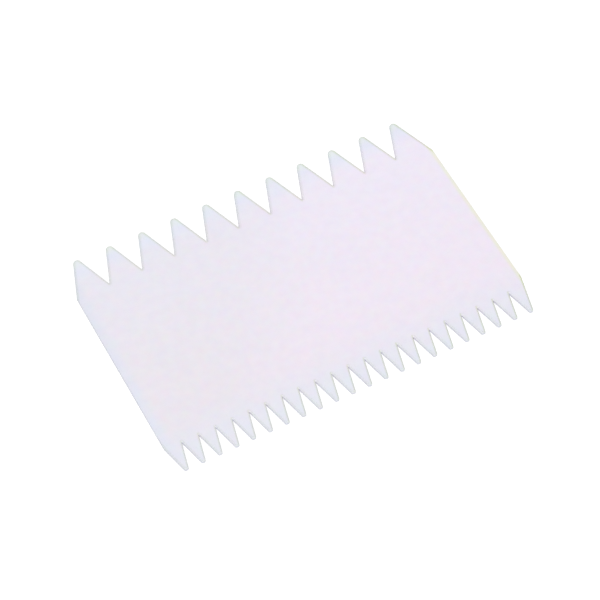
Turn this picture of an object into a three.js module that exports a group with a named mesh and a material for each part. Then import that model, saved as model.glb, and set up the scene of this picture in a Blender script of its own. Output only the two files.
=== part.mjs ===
// Cake comb: one thin moulded plate with coarse teeth along one long edge and fine teeth along the other.
// Millimetres. +X runs along the toothed edges, +Y from the fine teeth to the coarse teeth, +Z up.
// The origin is the centre of the underside, so the comb lies flat on the plane z = 0.

import * as THREE from 'three';

// Plate
const PLATE_LENGTH = 110.8; // between the two straight ends
const PLATE_WIDTH = 75; // from the tips of the fine teeth to the tips of the coarse teeth
const PLATE_THICKNESS = 1;

// From each straight end to where the pitch of the tooth beside it begins
const LEFT_MARGIN = 0.1; // at the -X end
const RIGHT_MARGIN = 0.7; // at the +X end

// Coarse teeth
const COARSE_COUNT = 11;
const COARSE_DEPTH = 11.6; // from the tips to the sharp bottoms of the notches
const COARSE_LAND = 1.6; // width of the blunt tip, before its corners are rounded
const COARSE_TIP_ROUND = 1.1;

// Fine teeth
const FINE_COUNT = 22;
const FINE_DEPTH = 8.2;
const FINE_LAND = 1.1;
const FINE_TIP_ROUND = 0.4;

// Half the number of straight steps in the arc at each corner of a tip
const TIP_ARC_DIVISIONS = 2;

// Pale plastic
const PLASTIC_COLOUR = 0xede8f2;
const PLASTIC_ROUGHNESS = 0.45;

// The two toothed edges. The side is the sign of Y where the edge's tips stand.
// A walk around the plate starts the fine edge at the left end and the coarse edge at the right end.
const COARSE_EDGE = {
  side: 1,
  startMargin: RIGHT_MARGIN,
  endMargin: LEFT_MARGIN,
  count: COARSE_COUNT,
  depth: COARSE_DEPTH,
  land: COARSE_LAND,
  tipRound: COARSE_TIP_ROUND,
};
const FINE_EDGE = {
  side: -1,
  startMargin: LEFT_MARGIN,
  endMargin: RIGHT_MARGIN,
  count: FINE_COUNT,
  depth: FINE_DEPTH,
  land: FINE_LAND,
  tipRound: FINE_TIP_ROUND,
};

// Corners of one toothed edge in the order of an anticlockwise walk around the plate.
// Along runs with the walk from the middle of the edge, and inward from the line of the tips.
function toothedEdgeCorners({ side, startMargin, endMargin, count, depth, land, tipRound }) {
  const halfLength = PLATE_LENGTH / 2;
  const pitch = (PLATE_LENGTH - startMargin - endMargin) / count;
  const flankRun = (pitch - land) / 2;
  const flankSlope = depth / flankRun;
  const place = (along, inward) => new THREE.Vector2(-side * along, side * (PLATE_WIDTH / 2 - inward));

  // The outer flanks of the end teeth run on, past the depth of the notches, to the straight ends.
  const corners = [{ point: place(-halfLength, depth + startMargin * flankSlope), round: 0 }];
  for (let tooth = 0; tooth < count; tooth += 1) {
    const start = startMargin - halfLength + tooth * pitch;
    if (tooth > 0) {
      corners.push({ point: place(start, depth), round: 0 });
    }
    corners.push({ point: place(start + flankRun, 0), round: tipRound });
    corners.push({ point: place(start + flankRun + land, 0), round: tipRound });
  }
  corners.push({ point: place(halfLength, depth + endMargin * flankSlope), round: 0 });
  return corners;
}

// Adds an outward corner to the outline as an arc that is tangent to both of its sides.
// The arc takes at most half of the shorter side, so that two corners of one land never cross.
function addRoundedCorner(outline, before, corner, after, wantedRadius) {
  const toBefore = before.clone().sub(corner);
  const toAfter = after.clone().sub(corner);
  const halfAngle = toBefore.angleTo(toAfter) / 2;
  const roomForArc = Math.min(toBefore.length(), toAfter.length()) / 2;
  const setback = Math.min(wantedRadius / Math.tan(halfAngle), roomForArc);
  const radius = setback * Math.tan(halfAngle);

  toBefore.setLength(setback);
  toAfter.setLength(setback);
  const toCentre = toBefore.clone().add(toAfter).setLength(radius / Math.sin(halfAngle));
  const centre = corner.clone().add(toCentre);
  const startAngle = toBefore.sub(toCentre).angle();
  const endAngle = toAfter.sub(toCentre).angle();
  outline.absarc(centre.x, centre.y, radius, startAngle, endAngle, false);
}

// Outline of the plate: down one straight end, along the fine edge, up the other end and back along the coarse edge.
function plateOutline() {
  const corners = [...toothedEdgeCorners(FINE_EDGE), ...toothedEdgeCorners(COARSE_EDGE)];
  const start = corners.at(-1).point;
  const outline = new THREE.Shape();
  outline.moveTo(start.x, start.y);
  corners.forEach(({ point, round }, i) => {
    if (round > 0) {
      addRoundedCorner(outline, corners[i - 1].point, point, corners[i + 1].point, round);
    } else {
      outline.lineTo(point.x, point.y);
    }
  });
  return outline;
}

// The comb is a single moulding, so it is one solid.
function combPlate() {
  const geometry = new THREE.ExtrudeGeometry(plateOutline(), {
    depth: PLATE_THICKNESS,
    bevelEnabled: false,
    curveSegments: TIP_ARC_DIVISIONS,
  });
  const plastic = new THREE.MeshStandardMaterial({
    color: PLASTIC_COLOUR,
    roughness: PLASTIC_ROUGHNESS,
    metalness: 0,
  });
  const plate = new THREE.Mesh(geometry, plastic);
  plate.name = 'comb_plate';
  return plate;
}

const cakeComb = new THREE.Group();
cakeComb.add(combPlate());

export default cakeComb;
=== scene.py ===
"""Looks of a cake comb: a thin moulded plate with coarse teeth on one long edge and fine teeth on the other.

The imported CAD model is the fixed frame. Geometry Nodes build the plate again with rounded edges, and it is
dressed in a satin plastic, laid on a white studio floor and seen from the photograph's viewpoint.
Lengths are in metres, in the CAD model's frame: +X along the toothed edges, +Y towards the coarse teeth and
+Z up. The -X end is the left one and the +X end the right one.
"""

import logging
import math
from collections.abc import Iterable
from dataclasses import dataclass
from enum import Enum

import bpy
from bpy.types import GeometryNodeTree, Material, Node, NodeOutputs, NodeSocket, NodeTree, Object
from mathutils import Color, Matrix, Vector

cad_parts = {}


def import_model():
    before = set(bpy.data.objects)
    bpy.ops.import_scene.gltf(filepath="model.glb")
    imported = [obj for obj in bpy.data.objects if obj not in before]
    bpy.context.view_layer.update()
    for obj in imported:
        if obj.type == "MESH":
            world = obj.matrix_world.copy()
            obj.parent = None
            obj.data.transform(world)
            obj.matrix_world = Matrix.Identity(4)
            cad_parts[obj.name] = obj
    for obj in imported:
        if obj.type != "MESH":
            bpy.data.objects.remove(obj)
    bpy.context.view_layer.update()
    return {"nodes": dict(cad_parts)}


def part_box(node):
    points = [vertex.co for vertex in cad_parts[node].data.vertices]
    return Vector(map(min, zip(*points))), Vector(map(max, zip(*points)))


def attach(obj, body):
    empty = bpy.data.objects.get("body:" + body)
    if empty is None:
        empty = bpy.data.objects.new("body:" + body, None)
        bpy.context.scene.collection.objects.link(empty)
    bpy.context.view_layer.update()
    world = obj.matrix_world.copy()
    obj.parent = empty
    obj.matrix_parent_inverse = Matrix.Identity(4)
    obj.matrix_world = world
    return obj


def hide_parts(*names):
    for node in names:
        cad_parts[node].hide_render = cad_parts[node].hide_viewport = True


MM = 0.001
CAD_NODE = "comb_plate"
CAD_BODY = "root"

# The bottom of the notch before a tooth and the two corners of its tip
CORNERS_PER_TOOTH = 3
# Radius that the corners of a tip keep where the rounding of its upper edge leaves none
LEAST_TIP_ROUND = 0.01 * MM
# Points of the plate's skins that lie nearer than this are one point
MERGE_DISTANCE = 0.001 * MM
# Share of a soft line's width, from its edge, where the line is full
LINE_CORE = 0.25

Colour = tuple[float, float, float]
Tint = Colour | NodeSocket
WHITE: Colour = (1.0, 1.0, 1.0)
log = logging.getLogger("cake_comb")


def linear(red: float, green: float, blue: float) -> Colour:
    """Turns a colour as a picture shows it, from 0 to 255, into the linear one that shaders take."""
    return tuple(Color((red / 255, green / 255, blue / 255)).from_srgb_to_scene_linear())


def opaque(colour: Colour) -> tuple[float, float, float, float]:
    """Adds a full alpha to a colour."""
    return (*colour, 1.0)


@dataclass(frozen=True)
class Number:
    """One number in a node tree, which can be reckoned with like a plain one.

    Attributes:
        sketch: The sketch of the tree that the number is in.
        socket: The output socket that gives it.
    """

    sketch: "NodeSketch"
    socket: NodeSocket

    def __add__(self, other: "Operand") -> "Number":
        """Sum."""
        return self.sketch.math("ADD", self, other)

    __radd__ = __add__

    def __sub__(self, other: "Operand") -> "Number":
        """Difference."""
        return self.sketch.math("SUBTRACT", self, other)

    def __rsub__(self, other: "Operand") -> "Number":
        """Difference from a plain number."""
        return self.sketch.math("SUBTRACT", other, self)

    def __mul__(self, other: "Operand") -> "Number":
        """Product."""
        return self.sketch.math("MULTIPLY", self, other)

    def __truediv__(self, other: "Operand") -> "Number":
        """Quotient."""
        return self.sketch.math("DIVIDE", self, other)

    def __mod__(self, other: "Operand") -> "Number":
        """Remainder, never negative for a positive divisor."""
        return self.sketch.math("FLOORED_MODULO", self, other)

    def __abs__(self) -> "Number":
        """Size without the sign."""
        return self.sketch.math("ABSOLUTE", self)

    def floor(self) -> "Number":
        """Next whole number down."""
        return self.sketch.math("FLOOR", self)

    def equals(self, other: "Operand") -> "Number":
        """1 where both are the same whole number, and 0 elsewhere."""
        return self.sketch.math("COMPARE", self, other, 0.5)

    def above(self, other: "Operand") -> "Number":
        """1 where this number is the greater, and 0 elsewhere."""
        return self.sketch.math("GREATER_THAN", self, other)

    def reaches(self, other: "Number") -> "Number":
        """1 where this whole number is at least the other, and 0 elsewhere."""
        return self.above(other - 0.5)


Operand = Number | NodeSocket | float


class NodeSketch:
    """Adds nodes to one tree and joins them.

    Attributes:
        tree: The geometry, material or world tree that takes the nodes.
    """

    def __init__(self, tree: NodeTree) -> None:
        """Starts on an empty tree."""
        self.tree = tree
        self.tree.nodes.clear()

    def add(self, kind: str, inputs: dict[str | int, object] | None = None, **settings: object) -> Node:
        """Adds a node.

        Args:
            kind: The node's class name.
            inputs: For each input, by name or number, a socket or number to join to it or a plain value.
            **settings: Properties of the node, such as its operation.

        Returns:
            The new node.
        """
        node = self.tree.nodes.new(kind)
        for name, value in settings.items():
            setattr(node, name, value)
        for key, value in (inputs or {}).items():
            self.feed(node.inputs[key], value)
        return node

    def feed(self, socket: NodeSocket, value: object) -> None:
        """Joins a socket or number to an input, or sets the input to a plain value.

        Args:
            socket: The input.
            value: What it takes.
        """
        if isinstance(value, Number):
            value = value.socket
        if isinstance(value, NodeSocket):
            self.tree.links.new(value, socket)
        else:
            socket.default_value = value

    def number(self, socket: NodeSocket) -> Number:
        """Wraps an output socket as a number to reckon with."""
        return Number(self, socket)

    def numbers(self, outputs: NodeOutputs, names: Iterable[str]) -> list[Number]:
        """Wraps some of a node's outputs as numbers, in the order of the names."""
        return [self.number(outputs[name]) for name in names]

    def index(self) -> Number:
        """Adds the number of the point, curve or other element at hand."""
        return self.number(self.add("GeometryNodeInputIndex").outputs[0])

    def math(self, operation: str, *values: Operand) -> Number:
        """Adds a Math node.

        Args:
            operation: The node's operation.
            *values: Numbers or plain values, in the order of its inputs.

        Returns:
            Its result.
        """
        node = self.add("ShaderNodeMath", dict(enumerate(values)), operation=operation)
        return self.number(node.outputs[0])

    def ramp(self, value: Operand, start: Operand, end: Operand) -> Number:
        """Adds a smooth step.

        Args:
            value: The number that the step follows.
            start: Where the step begins to rise from 0.
            end: Where it reaches 1.

        Returns:
            The step, from 0 to 1.
        """
        inputs = {"Value": value, "From Min": start, "From Max": end}
        node = self.add("ShaderNodeMapRange", inputs, interpolation_type="SMOOTHSTEP")
        return self.number(node.outputs["Result"])

    def line(self, to_edge: Number, width: float) -> Number:
        """Adds the mask of a soft line along an edge, from the distance to that edge."""
        return 1 - self.ramp(to_edge, LINE_CORE * width, width)

    def mix(self, share: Operand, first: Tint, second: Tint) -> NodeSocket:
        """Adds a mix of two colours.

        Args:
            share: From 0, the first colour, to 1, the second.
            first: A colour or a colour socket.
            second: A colour or a colour socket.

        Returns:
            The mixed colour.
        """
        node = self.add("ShaderNodeMix", data_type="RGBA")
        inputs = {socket.identifier: socket for socket in node.inputs}
        self.feed(inputs["Factor_Float"], share)
        for name, tint in (("A_Color", first), ("B_Color", second)):
            self.feed(inputs[name], opaque(tint) if isinstance(tint, tuple) else tint)
        return next(socket for socket in node.outputs if socket.identifier == "Result_Color")

    def multiply(self, first: NodeSocket, *others: NodeSocket) -> NodeSocket:
        """Adds the product of some colours.

        Args:
            first: The colour to start from.
            *others: What it is multiplied by.

        Returns:
            The product.
        """
        product = first
        for colour in others:
            factors = {0: product, 1: colour}
            product = self.add("ShaderNodeVectorMath", factors, operation="MULTIPLY").outputs[0]
        return product


class SocketKind(Enum):
    """Kinds of sockets on the node groups."""

    COUNT = "NodeSocketInt"
    LENGTH = "NodeSocketFloat"
    PLACE = "NodeSocketVector"
    SHAPE = "NodeSocketGeometry"
    FINISH = "NodeSocketMaterial"


SocketKinds = dict[str, SocketKind]


def new_geometry_tree(name: str, inputs: SocketKinds, outputs: SocketKinds) -> GeometryNodeTree:
    """Makes an empty Geometry Nodes tree with named sockets.

    Args:
        name: Name of the tree.
        inputs: The kind of each input, by name.
        outputs: The kind of each output, by name.

    Returns:
        The tree.
    """
    tree = bpy.data.node_groups.new(name, "GeometryNodeTree")
    for in_out, sockets in (("INPUT", inputs), ("OUTPUT", outputs)):
        for socket_name, kind in sockets.items():
            tree.interface.new_socket(socket_name, in_out=in_out, socket_type=kind.value)
    return tree


@dataclass(frozen=True)
class ToothRow:
    """Sizes of one row of teeth.

    Attributes:
        count: How many teeth the row has.
        depth: From the tips to the bottoms of the notches.
        land: Width of a blunt tip before its corners are rounded.
        tip_round: Radius of a tip's corners, seen from above.
    """

    count: int
    depth: float
    land: float
    tip_round: float

    def inputs(self, row_name: str) -> dict[str, float]:
        """Names the sizes for the plate's node tree.

        Args:
            row_name: Which row it is, in front of each name.

        Returns:
            The sizes by input name.
        """
        return {
            f"{row_name} Count": self.count,
            f"{row_name} Depth": self.depth,
            f"{row_name} Land": self.land,
            f"{row_name} Tip Round": self.tip_round,
        }


@dataclass
class CombPlate:
    """The whole comb: one moulded plate with a row of teeth along each long edge.

    Attributes:
        length: Between the two straight ends.
        width: From the fine tips to the coarse tips.
        thickness: Of the plate.
        coarse: The row on the +Y edge.
        fine: The row on the -Y edge.
        left_margin: From the left end to where the pitch of the tooth beside it begins.
        right_margin: The same at the right end.
        end_round: Radius of the corners where the outer flanks meet the straight ends.
        root_round: Radius at the bottoms of the notches, seen from above.
        arc_points: Steps in each rounded corner of the outline.
        tooth_edge_round: Radius between the top face and the wall, along the teeth.
        crisp_edge_round: The same along the straight ends and all round the underside.
        edge_steps: Steps across that radius.
    """

    length: float
    width: float
    thickness: float
    coarse: ToothRow = ToothRow(count=11, depth=11.6 * MM, land=1.6 * MM, tip_round=1.1 * MM)
    fine: ToothRow = ToothRow(count=22, depth=8.2 * MM, land=1.1 * MM, tip_round=0.4 * MM)
    left_margin: float = 0.1 * MM
    right_margin: float = 0.7 * MM
    end_round: float = 0.3 * MM
    root_round: float = 0.05 * MM
    arc_points: int = 6
    tooth_edge_round: float = 0.4 * MM
    crisp_edge_round: float = 0.08 * MM
    edge_steps: int = 5

    @classmethod
    def from_frame(cls) -> "CombPlate":
        """Takes the overall sizes from the CAD node that the plate stands for.

        Returns:
            The plate.
        """
        low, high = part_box(CAD_NODE)
        length, width, thickness = high - low
        return cls(length=length, width=width, thickness=thickness)

    def pitch(self, row: ToothRow) -> float:
        """Distance between two teeth of a row."""
        return (self.length - self.left_margin - self.right_margin) / row.count

    def teeth_start(self) -> float:
        """Where the pitch of the first tooth begins, along X."""
        return self.left_margin - self.length / 2

    def tree_values(self) -> dict[str, float]:
        """Names the plate's sizes for its node tree.

        Returns:
            The sizes by input name.
        """
        return {
            "Length": self.length,
            "Width": self.width,
            "Thickness": self.thickness,
            "Left Margin": self.left_margin,
            "Right Margin": self.right_margin,
            **self.coarse.inputs("Coarse"),
            **self.fine.inputs("Fine"),
            "End Round": self.end_round,
            "Root Round": self.root_round,
            "Arc Points": self.arc_points,
            "Tooth Edge Round": self.tooth_edge_round,
            "Crisp Edge Round": self.crisp_edge_round,
            "Edge Steps": self.edge_steps,
        }

    @staticmethod
    def toothed_edge_tree() -> GeometryNodeTree:
        """Makes the node group that places the corners of one toothed edge, with its tips on the +Y side.

        Three corners belong to each tooth: the bottom of the notch before it and the two corners of its tip.
        The first and last corner lie on the straight ends, where the outer flanks run on past the notches.
        The insets move the tips and flanks, and the straight ends, inwards by those distances.

        Returns:
            The group, from a corner's number along the edge to its place and rounding.
        """
        sizes = ("Length", "Width", "First Margin", "Last Margin", "Count", "Depth", "Land")
        roundings = ("Tip Round", "Root Round", "End Round")
        insets = ("Tooth Inset", "End Inset")
        inputs = {"Corner": SocketKind.COUNT} | dict.fromkeys(sizes + roundings + insets, SocketKind.LENGTH)
        outputs = {"Place": SocketKind.PLACE, "Round": SocketKind.LENGTH}
        tree = new_geometry_tree("toothed_edge_corners", inputs, outputs)
        sketch = NodeSketch(tree)
        given = sketch.add("NodeGroupInput").outputs
        corner = sketch.number(given["Corner"])
        length, width, first_margin, last_margin, count, depth, land = sketch.numbers(given, sizes)
        tip_round, root_round, end_round = sketch.numbers(given, roundings)
        tooth_inset, end_inset = sketch.numbers(given, insets)

        def by_corner(at_root: Operand, tip_start: Operand, tip_end: Operand) -> Number:
            """Picks a number for the corner's place in its tooth.

            Args:
                at_root: The number at the bottom of the notch.
                tip_start: The number at the tip's first corner.
                tip_end: The number at the tip's second corner.

            Returns:
                The number of the three that holds.
            """
            node = sketch.add("GeometryNodeIndexSwitch", data_type="FLOAT")
            node.index_switch_items.new()
            for socket, value in zip(node.inputs, (corner % CORNERS_PER_TOOTH, at_root, tip_start, tip_end)):
                sketch.feed(socket, value)
            return sketch.number(node.outputs[0])

        pitch = (length - first_margin - last_margin) / count
        flank_run = (pitch - land) / 2
        flank = sketch.math("SQRT", flank_run * flank_run + depth * depth)
        tooth_start = first_margin + (corner / CORNERS_PER_TOOTH).floor() * pitch - length / 2
        tip_shift = tooth_inset * (flank - flank_run) / depth
        root_shift = tooth_inset * flank / flank_run
        at_first = corner.equals(0)
        at_last = corner.equals(count * CORNERS_PER_TOOTH)
        run_on = at_first * (first_margin - end_inset) + at_last * (last_margin - end_inset)

        in_tooth = by_corner(0.0, flank_run + tip_shift, flank_run + land - tip_shift)
        along = tooth_start + in_tooth + (at_last - at_first) * run_on
        inward = by_corner(depth + root_shift, tooth_inset, tooth_inset) + run_on * depth / flank_run
        place = sketch.add("ShaderNodeCombineXYZ", {"X": along, "Y": width / 2 - inward})
        tip_left = sketch.math("MAXIMUM", tip_round - tooth_inset, LEAST_TIP_ROUND)
        on_row = by_corner(root_round + tooth_inset, tip_left, tip_left)
        rounding = on_row + (at_first + at_last) * (end_round - on_row)
        sketch.add("NodeGroupOutput", {"Place": place.outputs[0], "Round": rounding})
        return tree

    def plate_tree(self) -> GeometryNodeTree:
        """Makes the tree that draws the outline at rising levels and closes a skin over them.

        Returns:
            The tree.
        """
        inputs = dict.fromkeys(self.tree_values(), SocketKind.LENGTH)
        inputs |= dict.fromkeys(("Coarse Count", "Fine Count", "Arc Points", "Edge Steps"), SocketKind.COUNT)
        inputs["Plastic"] = SocketKind.FINISH
        tree = new_geometry_tree("comb_plate", inputs, {"Plate": SocketKind.SHAPE})
        sketch = NodeSketch(tree)
        given = sketch.add("NodeGroupInput").outputs

        # The lower and the upper edge each have a level for every step and one more
        levels = (sketch.number(given["Edge Steps"]) + 1) * 2
        outlines = self.outlines(sketch, given, levels)

        top = self.face(sketch, outlines, levels - 1)
        rise = sketch.add("ShaderNodeCombineXYZ", {"Z": given["Thickness"]})
        lifted = sketch.add("GeometryNodeTransform", {"Geometry": top, "Translation": rise.outputs[0]})
        underside = sketch.add("GeometryNodeFlipFaces", {"Mesh": self.face(sketch, outlines, 0)})
        shell = sketch.add("GeometryNodeJoinGeometry")
        for skin in (lifted.outputs[0], underside.outputs[0], self.wall(sketch, outlines, levels)):
            sketch.feed(shell.inputs[0], skin)
        merge = {"Geometry": shell.outputs[0], "Distance": MERGE_DISTANCE}
        solid = sketch.add("GeometryNodeMergeByDistance", merge)

        smooth = sketch.add("GeometryNodeSetShadeSmooth", {0: solid.outputs[0], "Shade Smooth": True})
        whole = sketch.add("GeometryNodeRealizeInstances", {0: smooth.outputs[0]})
        dressed = sketch.add("GeometryNodeSetMaterial", {0: whole.outputs[0], "Material": given["Plastic"]})
        sketch.add("NodeGroupOutput", {"Plate": dressed.outputs[0]})
        return tree

    def outlines(self, sketch: NodeSketch, given: NodeOutputs, levels: Number) -> NodeSocket:
        """Adds the outline at every level, from the underside to the top face.

        Args:
            sketch: The plate tree's sketch.
            given: The tree's inputs.
            levels: How many levels there are.

        Returns:
            One closed curve for each level, lowest first.
        """
        index = sketch.index()
        coarse_count, fine_count = sketch.numbers(given, ("Coarse Count", "Fine Count"))
        coarse_corners = coarse_count * CORNERS_PER_TOOTH + 1
        corners = coarse_corners + fine_count * CORNERS_PER_TOOTH + 1
        corner = index % corners
        level = (index / corners).floor()
        tooth_inset, end_inset, height = self.edge_profile(sketch, given, level)
        edge_group = self.toothed_edge_tree()

        def edge_corner(row_name: str, number: Number, first_end: str, last_end: str) -> Node:
            """Adds the corner of one row's edge.

            Args:
                row_name: The row.
                number: The corner's number along the edge.
                first_end: The end of the plate where the edge starts.
                last_end: The end where it stops.

            Returns:
                The node that gives the corner's place and rounding.
            """
            values = {"Corner": number, "Tooth Inset": tooth_inset, "End Inset": end_inset}
            values["First Margin"] = given[f"{first_end} Margin"]
            values["Last Margin"] = given[f"{last_end} Margin"]
            values |= {name: given[name] for name in ("Length", "Width", "Root Round", "End Round")}
            values |= {name: given[f"{row_name} {name}"] for name in ("Count", "Depth", "Land", "Tip Round")}
            return sketch.add("GeometryNodeGroup", values, node_tree=edge_group)

        # One closed walk over the corners: along the coarse edge, then back along the fine edge
        coarse = edge_corner("Coarse", corner, "Left", "Right").outputs
        fine = edge_corner("Fine", corner - coarse_corners, "Right", "Left").outputs
        half_turn = sketch.add("ShaderNodeVectorMath", {0: fine["Place"], "Scale": -1.0}, operation="SCALE")
        on_fine = corner.reaches(coarse_corners)
        places = {"Switch": on_fine, "False": coarse["Place"], "True": half_turn.outputs[0]}
        flat_place = sketch.add("GeometryNodeSwitch", places, input_type="VECTOR")
        rise = sketch.add("ShaderNodeCombineXYZ", {"Z": height})
        lift = {0: flat_place.outputs[0], 1: rise.outputs[0]}
        place = sketch.add("ShaderNodeVectorMath", lift, operation="ADD")
        roundings = {"Switch": on_fine, "False": coarse["Round"], "True": fine["Round"]}
        rounding = sketch.add("GeometryNodeSwitch", roundings, input_type="FLOAT")

        # A point's radius carries the rounding of its corner to the fillet
        walk = {"Count": corners * levels, "Position": place.outputs[0], "Radius": rounding.outputs[0]}
        points = sketch.add("GeometryNodePoints", walk)
        rings = {"Points": points.outputs[0], "Curve Group ID": level, "Weight": index}
        curves = sketch.add("GeometryNodePointsToCurves", rings)
        closed = sketch.add("GeometryNodeSetSplineCyclic", {0: curves.outputs[0], "Cyclic": True})
        fillet = {
            "Curve": closed.outputs[0],
            "Count": given["Arc Points"],
            "Radius": sketch.add("GeometryNodeInputRadius").outputs[0],
            "Limit Radius": True,
        }
        return sketch.add("GeometryNodeFilletCurve", fillet, mode="POLY").outputs[0]

    @staticmethod
    def edge_profile(sketch: NodeSketch, given: NodeOutputs, level: Number) -> tuple[Number, Number, Number]:
        """Adds the rounded profile of the wall: a crisp lower edge, then the rounder upper edge.

        Args:
            sketch: The plate tree's sketch.
            given: The tree's inputs.
            level: Number of the level, from 0 at the underside.

        Returns:
            How far the level lies inside the outline along the teeth and along the ends, and its height.
        """
        sizes = ("Thickness", "Tooth Edge Round", "Crisp Edge Round", "Edge Steps")
        thickness, tooth_round, crisp_round, steps = sketch.numbers(given, sizes)
        upper = level.reaches(steps + 1)
        turn = (level - upper * (steps + 1)) / steps * (math.pi / 2)
        one_less_sine = 1 - sketch.math("SINE", turn)
        one_less_cosine = 1 - sketch.math("COSINE", turn)

        def by_edge(at_lower: Number, at_upper: Number) -> Number:
            """Picks a number for the lower or the upper edge."""
            return at_lower + upper * (at_upper - at_lower)

        tooth_inset = by_edge(crisp_round * one_less_sine, tooth_round * one_less_cosine)
        end_inset = by_edge(crisp_round * one_less_sine, crisp_round * one_less_cosine)
        height = by_edge(crisp_round * one_less_cosine, thickness - tooth_round * one_less_sine)
        return tooth_inset, end_inset, height

    @staticmethod
    def wall(sketch: NodeSketch, outlines: NodeSocket, levels: Number) -> NodeSocket:
        """Adds the wall: a grid wrapped around the plate, with one row of points on each outline.

        Args:
            sketch: The plate tree's sketch.
            outlines: One closed curve for each level.
            levels: How many levels there are.

        Returns:
            The wall, with its faces outwards.
        """
        size = sketch.add("GeometryNodeAttributeDomainSize", {"Geometry": outlines}, component="CURVE")
        ring = sketch.number(size.outputs["Point Count"]) / levels
        grid = sketch.add("GeometryNodeMeshGrid", {"Vertices X": ring + 1, "Vertices Y": levels})
        index = sketch.index()
        around = (index / levels).floor() % ring
        source = {
            "Geometry": outlines,
            "Value": sketch.add("GeometryNodeInputPosition").outputs[0],
            "Index": index % levels * ring + around,
        }
        sample = sketch.add("GeometryNodeSampleIndex", source, data_type="FLOAT_VECTOR", domain="POINT")
        wrap = {"Geometry": grid.outputs["Mesh"], "Position": sample.outputs[0]}
        wrapped = sketch.add("GeometryNodeSetPosition", wrap)
        return sketch.add("GeometryNodeFlipFaces", {"Mesh": wrapped.outputs[0]}).outputs[0]

    @staticmethod
    def face(sketch: NodeSketch, outlines: NodeSocket, level: Operand) -> NodeSocket:
        """Adds a flat face inside one outline, at height 0 and looking up.

        Args:
            sketch: The plate tree's sketch.
            outlines: One closed curve for each level.
            level: Which outline it fills.

        Returns:
            The face.
        """
        choice = {"Geometry": outlines, "Selection": sketch.index().equals(level)}
        outline = sketch.add("GeometryNodeSeparateGeometry", choice, domain="CURVE")
        return sketch.add("GeometryNodeFillCurve", {"Curve": outline.outputs[0]}, mode="NGONS").outputs[0]

    def build(self, plastic: Material) -> Object:
        """Builds the plate as one plain mesh.

        Args:
            plastic: Its material.

        Returns:
            The finished piece, at the origin.
        """
        piece = bpy.data.objects.new("toothed_plate", bpy.data.meshes.new("toothed_plate"))
        bpy.context.scene.collection.objects.link(piece)
        self.shape(piece, plastic)
        normals = piece.modifiers.new("flat_faces_shade_flat", "WEIGHTED_NORMAL")
        normals.mode = "FACE_AREA"

        bpy.context.view_layer.update()
        depsgraph = bpy.context.evaluated_depsgraph_get()
        mesh = bpy.data.meshes.new_from_object(piece.evaluated_get(depsgraph), depsgraph=depsgraph)
        piece.modifiers.clear()
        piece.data = mesh
        return piece

    def shape(self, piece: Object, plastic: Material) -> None:
        """Adds the plate's node tree to the piece and sets its inputs.

        Args:
            piece: The object that takes the modifier.
            plastic: The material that the tree sets.
        """
        modifier = piece.modifiers.new("shape", "NODES")
        modifier.node_group = self.plate_tree()
        values = self.tree_values() | {"Plastic": plastic}
        for socket in modifier.node_group.interface.items_tree:
            if socket.in_out == "INPUT":
                modifier[socket.identifier] = values[socket.name]


class PlatePoint:
    """The point that a material shades, as distances on the plate.

    Attributes:
        sketch: The material's sketch.
        plate: The plate that the point is on.
        place: Its Object coordinates.
        x: Its place along the plate, from the middle.
        y: Its place across the plate, from the middle.
        along: From 0 at the left end to 1 at the right end.
        across: From 0 at the fine tips to 1 at the coarse tips.
        from_left_end: Distance from the left end.
        from_right_end: Distance from the right end.
        from_fine_tips: Distance from the line of the fine tips.
        from_coarse_tips: Distance from the line of the coarse tips.
        below_top: Depth under the top face.
    """

    def __init__(self, sketch: NodeSketch, plate: CombPlate) -> None:
        """Adds the nodes that find the point.

        Args:
            sketch: The material's sketch.
            plate: The plate that the material covers.
        """
        self.sketch = sketch
        self.plate = plate
        self.place = sketch.add("ShaderNodeTexCoord").outputs["Object"]
        axes = sketch.add("ShaderNodeSeparateXYZ", {0: self.place}).outputs
        self.x, self.y, z = (sketch.number(axis) for axis in axes)
        self.along = self.x / plate.length + 0.5
        self.across = self.y / plate.width + 0.5
        self.from_left_end = self.x + plate.length / 2
        self.from_right_end = plate.length / 2 - self.x
        self.from_fine_tips = plate.width / 2 + self.y
        self.from_coarse_tips = plate.width / 2 - self.y
        self.below_top = plate.thickness - z

    def in_tooth(self, row: ToothRow, inward: Number) -> tuple[Number, Number]:
        """Adds where the point lies in its tooth of a row.

        Args:
            row: The row.
            inward: Distance from the line of the row's tips.

        Returns:
            The distance to the tooth's nearest edge, and a mask from 0 on its left side to 1 on its right.
        """
        sketch = self.sketch
        pitch = self.plate.pitch(row)
        flank_angle = math.atan2((pitch - row.land) / 2, row.depth)
        sine = math.sin(flank_angle)
        cosine = math.cos(flank_angle)
        from_start = self.x - self.plate.teeth_start()
        on_plate = {"Value": (from_start / pitch).floor(), "Max": row.count - 1.0}
        tooth = sketch.number(sketch.add("ShaderNodeClamp", on_plate).outputs[0])
        from_middle = from_start - (tooth + 0.5) * pitch

        # Behind a notch the nearest edge is its bottom, but the outer flanks run on to the straight ends
        from_notch = pitch / 2 - abs(from_middle)
        past_root = inward - row.depth
        to_flank = from_notch * cosine + past_root * sine
        beyond_flank = sketch.math("MAXIMUM", past_root * cosine - from_notch * sine, 0.0)
        on_outer_half = abs(from_start - row.count * pitch / 2).above((row.count - 1) * pitch / 2)
        beyond_flank = beyond_flank * (1 - on_outer_half)
        to_outline = sketch.math("SQRT", to_flank * to_flank + beyond_flank * beyond_flank)
        to_edge = sketch.math("MINIMUM", to_outline, inward)
        return to_edge, sketch.ramp(from_middle, -row.land / 2, row.land / 2)


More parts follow.
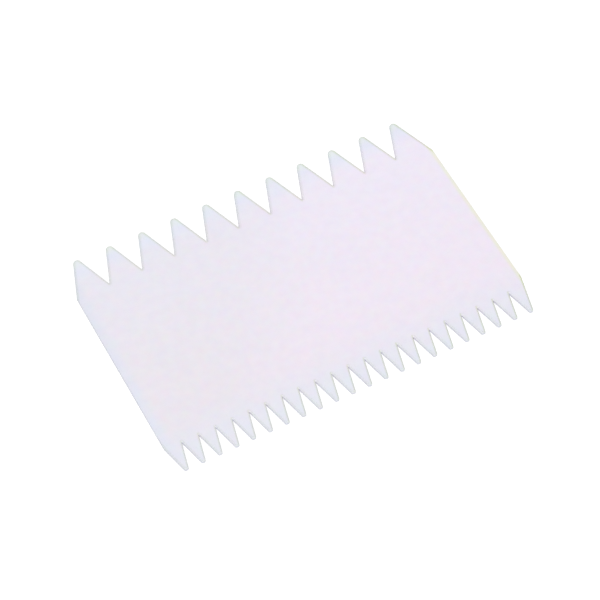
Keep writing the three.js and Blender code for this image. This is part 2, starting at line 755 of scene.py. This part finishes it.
@dataclass(frozen=True)
class NoisePattern:
    """A soft random pattern.

    Attributes:
        scale: How fine it is, in patches to the metre.
        detail: How many finer layers it has.
    """

    scale: float
    detail: float

    def add(self, point: PlatePoint) -> NodeOutputs:
        """Adds the pattern over the plate."""
        inputs = {"Vector": point.place, "Scale": self.scale, "Detail": self.detail}
        return point.sketch.add("ShaderNodeTexNoise", inputs).outputs

    def swing(self, point: PlatePoint) -> Number:
        """Adds the pattern as a number that swings around 0."""
        return point.sketch.number(self.add(point)["Fac"]) - 0.5


@dataclass(frozen=True)
class BodyTint:
    """The body's colour, which turns from one end of the plate to the other.

    Attributes:
        left: The colour at the left end.
        right: The colour at the right end.
        step_share: How much of the turn comes in one soft step. The rest is an even drift.
        step_start: Where the step begins, along X in the middle of the plate.
        step_end: Where it ends.
        step_lean: How far along X the step moves for each unit along Y.
        clouds: Soft clouds in the colour.
        clouding: How far the clouds shift it between the two ends' colours.
    """

    left: Colour = linear(233.9, 229.3, 238.3)
    right: Colour = linear(240.6, 232.2, 245.6)
    step_share: float = 0.65
    step_start: float = -30.0 * MM
    step_end: float = 10.0 * MM
    step_lean: float = 0.6
    clouds: NoisePattern = NoisePattern(scale=45.0, detail=3.0)
    clouding: float = 0.35

    def add(self, point: PlatePoint) -> NodeSocket:
        """Adds the colour.

        Args:
            point: The point that is shaded.

        Returns:
            The colour.
        """
        step = point.sketch.ramp(point.x - point.y * self.step_lean, self.step_start, self.step_end)
        drift = point.along + (step - point.along) * self.step_share
        clouded = drift + self.clouds.swing(point) * self.clouding
        return point.sketch.mix(clouded, self.left, self.right)


@dataclass(frozen=True)
class RowFinish:
    """What one row of teeth changes in the plate's colour.

    Attributes:
        cast: What the body's colour is multiplied by at this row's edge of the plate.
        tint: The colour of the tips.
        tint_reach: How far from the tips that colour reaches.
        line_width: How far the painted shade along the teeth reaches in from their edges.
        tint_core: How far from the tips their colour is full.
    """

    cast: Colour
    tint: Colour
    tint_reach: float
    line_width: float
    tint_core: float = 1.0 * MM

    def lay_tint(self, sketch: NodeSketch, inward: Number, body: NodeSocket) -> NodeSocket:
        """Lays the tips' colour over the body's, by the distance from the line of the tips."""
        return sketch.mix(sketch.ramp(inward, self.tint_core, self.tint_reach), self.tint, body)


@dataclass(frozen=True)
class EdgeLine:
    """A soft line along a straight edge of the plate, used both for painted shade and for another colour.

    Attributes:
        shade: What the colour is multiplied by where the line is full.
        width: How far the line reaches in from the edge.
        strength: How full it is at the edge, from 0 to 1.
    """

    shade: Colour
    width: float
    strength: float = 1.0

    def add(self, sketch: NodeSketch, to_edge: Number) -> NodeSocket:
        """Adds what the colour is multiplied by, from the distance to the edge."""
        return sketch.mix(sketch.line(to_edge, self.width) * self.strength, WHITE, self.shade)


@dataclass(frozen=True)
class PaintedFlankShade:
    """Painted shade, greyer than the body, along the edges of the teeth. Its two sides differ more towards
    the plate's right end.

    Attributes:
        left_facing_shade: What the colour is multiplied by where the line is full, on flanks that face left.
        right_facing_shade: The same on flanks that face right.
        left_end_strength: How full the line is at the plate's left end, from 0 to 1.
        left_facing_strength: The same at the right end, on flanks that face left.
        right_facing_strength: The same at the right end, on flanks that face right.
    """

    # Painted shade on the teeth's edges, darker towards the right end on flanks that face right
    left_facing_shade: Colour = (0.744, 0.793, 0.673)
    right_facing_shade: Colour = (0.82, 0.86, 0.66)
    left_end_strength: float = 0.45
    left_facing_strength: float = 0.3
    right_facing_strength: float = 0.95

    def add(self, point: PlatePoint, row: ToothRow, inward: Number, width: float) -> NodeSocket:
        """Adds the painted shade on one row of teeth.

        Args:
            point: The point that is shaded.
            row: The row.
            inward: Distance from the line of the row's tips.
            width: How far the line reaches in from the edges of the teeth.

        Returns:
            What the colour is multiplied by.
        """
        sketch = point.sketch
        to_edge, faces_right = point.in_tooth(row, inward)
        difference = self.right_facing_strength - self.left_facing_strength
        right_end_strength = self.left_facing_strength + faces_right * difference
        strength = self.left_end_strength + point.along * (right_end_strength - self.left_end_strength)
        shade = sketch.mix(faces_right, self.left_facing_shade, self.right_facing_shade)
        return sketch.mix(sketch.line(to_edge, width) * strength, WHITE, shade)


@dataclass(frozen=True)
class PalePlastic:
    """Satin moulded plastic: pale lilac, cooler on the teeth and the left end, with painted shade along its
    edges.

    Attributes:
        body: The colour of the body.
        coarse_row: What the coarse teeth change in it.
        fine_row: What the fine teeth change in it.
        left_end_tint: The colour beside the left end.
        left_end_reach: How far that colour reaches in.
        painted_flank_shade: The painted shade along the teeth.
        left_end_painted_shade: The faint painted shade along the left end.
        right_end_line: The yellower line along the right end.
        coarse_tip_line: The yellower tips of the coarse teeth.
        line_drop: How far down the rounded upper edge the lines are full, as a share of its radius.
        spots: Fine spots in the colour.
        mottle: How uneven the spots make it.
        roughness: Of the surface.
        satin_clouds: Soft clouds in the roughness.
        satin_swing: How far the clouds change it.
        mould_grain: The fine grain of the mould.
        grain_strength: How strongly the grain shows, from 0 to 1.
        grain_height: How high the grain stands.
        ior: Index of refraction.
    """

    body: BodyTint = BodyTint()
    coarse_row: RowFinish = RowFinish(
        cast=(1.0, 1.022, 1.030),
        tint=linear(229.3, 233.3, 247.4),
        tint_reach=10.0 * MM,
        line_width=1.0 * MM,
    )
    fine_row: RowFinish = RowFinish(
        cast=(1.0, 0.978, 0.970),
        tint=linear(229.6, 231.2, 241.8),
        tint_reach=18.5 * MM,
        line_width=0.75 * MM,
    )
    left_end_tint: Colour = linear(228, 229.2, 240.8)
    left_end_reach: float = 4.0 * MM
    # Painted shade along the edges of the teeth
    painted_flank_shade: PaintedFlankShade = PaintedFlankShade()
    # Faint painted shade along the left end
    left_end_painted_shade: EdgeLine = EdgeLine(shade=PaintedFlankShade.left_facing_shade, width=0.75 * MM, strength=0.06)
    right_end_line: EdgeLine = EdgeLine(shade=(0.97, 1.03, 0.80), width=1.6 * MM)
    coarse_tip_line: EdgeLine = EdgeLine(shade=(1.01, 1.03, 0.92), width=3.6 * MM)
    line_drop: float = 0.4
    spots: NoisePattern = NoisePattern(scale=380.0, detail=2.0)
    mottle: float = 0.11
    roughness: float = 0.42
    satin_clouds: NoisePattern = NoisePattern(scale=160.0, detail=4.0)
    satin_swing: float = 0.12
    mould_grain: NoisePattern = NoisePattern(scale=5000.0, detail=2.0)
    grain_strength: float = 0.15
    grain_height: float = 0.02 * MM
    ior: float = 1.5

    def material(self, plate: CombPlate) -> Material:
        """Makes the material.

        Args:
            plate: The plate that it covers.

        Returns:
            The material.
        """
        material = bpy.data.materials.new("pale_plastic_satin")
        material.use_nodes = True
        sketch = NodeSketch(material.node_tree)
        point = PlatePoint(sketch, plate)
        finish = {
            "Base Color": self.colour(point),
            "Roughness": self.satin_clouds.swing(point) * self.satin_swing + self.roughness,
            "Normal": self.grain(point),
            "IOR": self.ior,
        }
        shader = sketch.add("ShaderNodeBsdfPrincipled", finish)
        sketch.add("ShaderNodeOutputMaterial", {"Surface": shader.outputs[0]})
        return material

    def colour(self, point: PlatePoint) -> NodeSocket:
        """Adds the colour: the body's, then that of the teeth and the left end, the mottle, and the painted
        shade and tints along the edges.

        Args:
            point: The point that is shaded.

        Returns:
            The colour.
        """
        sketch = point.sketch
        cast = sketch.mix(point.across, self.fine_row.cast, self.coarse_row.cast)
        body = sketch.multiply(self.body.add(point), cast)
        near_fine = self.fine_row.lay_tint(sketch, point.from_fine_tips, body)
        toothed = self.coarse_row.lay_tint(sketch, point.from_coarse_tips, near_fine)
        beside_left_end = sketch.line(point.from_left_end, self.left_end_reach)
        tinted = sketch.mix(beside_left_end, toothed, self.left_end_tint)
        return sketch.multiply(tinted, self.unevenness(point), self.painted_shade_and_edge_tints(point))

    def unevenness(self, point: PlatePoint) -> NodeSocket:
        """Adds the mottle.

        Args:
            point: The point that is shaded.

        Returns:
            What the colour is multiplied by, around 1.
        """
        lowest = 1 - self.mottle / 2
        spread = {0: self.spots.add(point)["Color"], 1: (self.mottle,) * 3, 2: (lowest,) * 3}
        return point.sketch.add("ShaderNodeVectorMath", spread, operation="MULTIPLY_ADD").outputs[0]

    def painted_shade_and_edge_tints(self, point: PlatePoint) -> NodeSocket:
        """Adds the painted shade and tints along the edges of the top face, which leave the walls as they
        are.

        Args:
            point: The point that is shaded.

        Returns:
            What the colour is multiplied by.
        """
        sketch = point.sketch
        plate = point.plate
        # The lines along the teeth and the left end are painted shade; those at the right end and the coarse
        # tips are yellower tints
        lines = sketch.multiply(
            self.painted_flank_shade.add(point, plate.coarse, point.from_coarse_tips, self.coarse_row.line_width),
            self.painted_flank_shade.add(point, plate.fine, point.from_fine_tips, self.fine_row.line_width),
            self.left_end_painted_shade.add(sketch, point.from_left_end),
            self.right_end_line.add(sketch, point.from_right_end),
            self.coarse_tip_line.add(sketch, point.from_coarse_tips),
        )
        edge_round = plate.tooth_edge_round
        on_wall = sketch.ramp(point.below_top, self.line_drop * edge_round, edge_round)
        return sketch.mix(on_wall, lines, WHITE)

    def grain(self, point: PlatePoint) -> NodeSocket:
        """Adds the grain of the mould.

        Args:
            point: The point that is shaded.

        Returns:
            The normal.
        """
        height = self.mould_grain.add(point)["Fac"]
        bump = {"Height": height, "Strength": self.grain_strength, "Distance": self.grain_height}
        return point.sketch.add("ShaderNodeBump", bump).outputs[0]


@dataclass(frozen=True)
class Viewpoint:
    """Where a camera or a lamp stands, and what it points at.

    Attributes:
        aim: The point at the middle of its view.
        distance: From the aim.
        azimuth: Degrees around +Z, from the fine edge's side towards +X.
        elevation: Degrees above the floor.
        roll: Degrees that it is turned about its own axis, anticlockwise.
    """

    aim: tuple[float, float, float]
    distance: float
    azimuth: float
    elevation: float
    roll: float = 0.0

    def matrix(self) -> Matrix:
        """Works out the matrix of an object that looks along its own -Z.

        Returns:
            The matrix.
        """
        turn = Matrix.Rotation(math.radians(self.azimuth), 4, "Z")
        tilt = Matrix.Rotation(math.radians(90 - self.elevation), 4, "X")
        back = Matrix.Translation(Vector((0.0, 0.0, self.distance)))
        roll = Matrix.Rotation(math.radians(self.roll), 4, "Z")
        return Matrix.Translation(Vector(self.aim)) @ turn @ tilt @ back @ roll


@dataclass(frozen=True)
class Studio:
    """A white floor in a light tent, with one large soft lamp on the camera's side.

    Attributes:
        tent_level: Light of the tent on every surface, where 1 lights a white surface fully.
        lamp_power: Of the lamp, in watts.
        lamp_size: Side of the square lamp.
        lamp_view: Where the lamp stands.
        floor_size: Side of the square floor.
        floor_drop: How far the floor lies under the plate, so that no two faces share a plane.
        floor_white: The floor's own colour, as one grey.
        floor_lift: What is added to the floor where it is seen, so that it shows white.
    """

    tent_level: float = 0.64
    lamp_power: float = 45.0
    lamp_size: float = 1.2
    lamp_view: Viewpoint = Viewpoint(aim=(0.0, 0.0, 0.0), distance=3.0, azimuth=-30.0, elevation=48.0)
    floor_size: float = 4.0
    floor_drop: float = 0.02 * MM
    floor_white: float = 0.45
    floor_lift: float = 0.68

    def build(self) -> None:
        """Builds the floor, the tent and the lamp, and sets the view transform."""
        bpy.context.scene.view_settings.view_transform = "Standard"
        self.build_tent()
        self.build_lamp()
        self.build_floor()

    @staticmethod
    def seen(sketch: NodeSketch) -> Number:
        """Adds a mask: 1 for what the camera sees, straight, mirrored or through glass, and 0 for light.

        Args:
            sketch: The sketch of the floor's material or the world.

        Returns:
            The mask.
        """
        path = sketch.add("ShaderNodeLightPath").outputs
        mirrored = sketch.math("MAXIMUM", path["Is Glossy Ray"], path["Is Transmission Ray"])
        return sketch.math("MAXIMUM", path["Is Camera Ray"], mirrored)

    def build_tent(self) -> None:
        """Makes the world a light tent that is white where it is seen."""
        world = bpy.data.worlds.new("light_tent")
        world.use_nodes = True
        sketch = NodeSketch(world.node_tree)
        seen = self.seen(sketch)
        strength = seen + (1 - seen) * self.tent_level
        tent = sketch.add("ShaderNodeBackground", {"Color": opaque(WHITE), "Strength": strength})
        sketch.add("ShaderNodeOutputWorld", {"Surface": tent.outputs[0]})
        bpy.context.scene.world = world

    def build_lamp(self) -> None:
        """Places the lamp."""
        light = bpy.data.lights.new("softbox", "AREA")
        light.shape = "SQUARE"
        light.size = self.lamp_size
        light.energy = self.lamp_power
        lamp = bpy.data.objects.new("softbox", light)
        lamp.matrix_world = self.lamp_view.matrix()
        bpy.context.scene.collection.objects.link(lamp)

    def build_floor(self) -> Object:
        """Lays the floor just under the plate.

        Returns:
            The floor.
        """
        half = self.floor_size / 2
        ring = ((-half, -half), (half, -half), (half, half), (-half, half))
        corners = [(x, y, -self.floor_drop) for x, y in ring]
        mesh = bpy.data.meshes.new("floor")
        mesh.from_pydata(corners, [], [tuple(range(len(corners)))])
        mesh.materials.append(self.floor_material())
        floor = bpy.data.objects.new("floor", mesh)
        bpy.context.scene.collection.objects.link(floor)
        return floor

    def floor_material(self) -> Material:
        """Makes the white floor, which still takes the comb's shadow.

        Returns:
            The material.
        """
        material = bpy.data.materials.new("white_floor")
        material.use_nodes = True
        sketch = NodeSketch(material.node_tree)
        paint = sketch.add("ShaderNodeBsdfDiffuse", {"Color": opaque((self.floor_white,) * 3)})
        lift = sketch.add("ShaderNodeEmission", {"Strength": self.seen(sketch) * self.floor_lift})
        both = sketch.add("ShaderNodeAddShader", {0: paint.outputs[0], 1: lift.outputs[0]})
        sketch.add("ShaderNodeOutputMaterial", {"Surface": both.outputs[0]})
        return material


@dataclass(frozen=True)
class PhotoCamera:
    """The camera at the photograph's viewpoint.

    Attributes:
        focal_length: In millimetres.
        sensor_width: In millimetres.
        view: Where the camera stands.
    """

    focal_length: float = 160.5
    sensor_width: float = 36.0
    view: Viewpoint = Viewpoint(
        aim=(-1.43 * MM, -3.53 * MM, 0.0),
        distance=734.4 * MM,
        azimuth=-25.68,
        elevation=55.74,
        roll=-2.38,
    )

    def build(self) -> None:
        """Places the camera and makes it the scene's."""
        data = bpy.data.cameras.new("photo_camera")
        data.sensor_width = self.sensor_width
        data.lens = self.focal_length
        camera = bpy.data.objects.new("photo_camera", data)
        camera.matrix_world = self.view.matrix()
        bpy.context.scene.collection.objects.link(camera)
        bpy.context.scene.camera = camera


def main() -> None:
    """Builds the studio, the camera and the comb around the CAD frame."""
    logging.basicConfig(level=logging.INFO, format="%(name)s: %(message)s")
    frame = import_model()
    log.info("CAD frame: %d node", len(frame["nodes"]))
    Studio().build()
    PhotoCamera().build()

    plate = CombPlate.from_frame()
    piece = plate.build(PalePlastic().material(plate))
    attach(piece, CAD_BODY)
    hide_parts(CAD_NODE)
    log.info("%s: %d vertices, %d faces", piece.name, len(piece.data.vertices), len(piece.data.polygons))


if __name__ == "__main__":
    main()
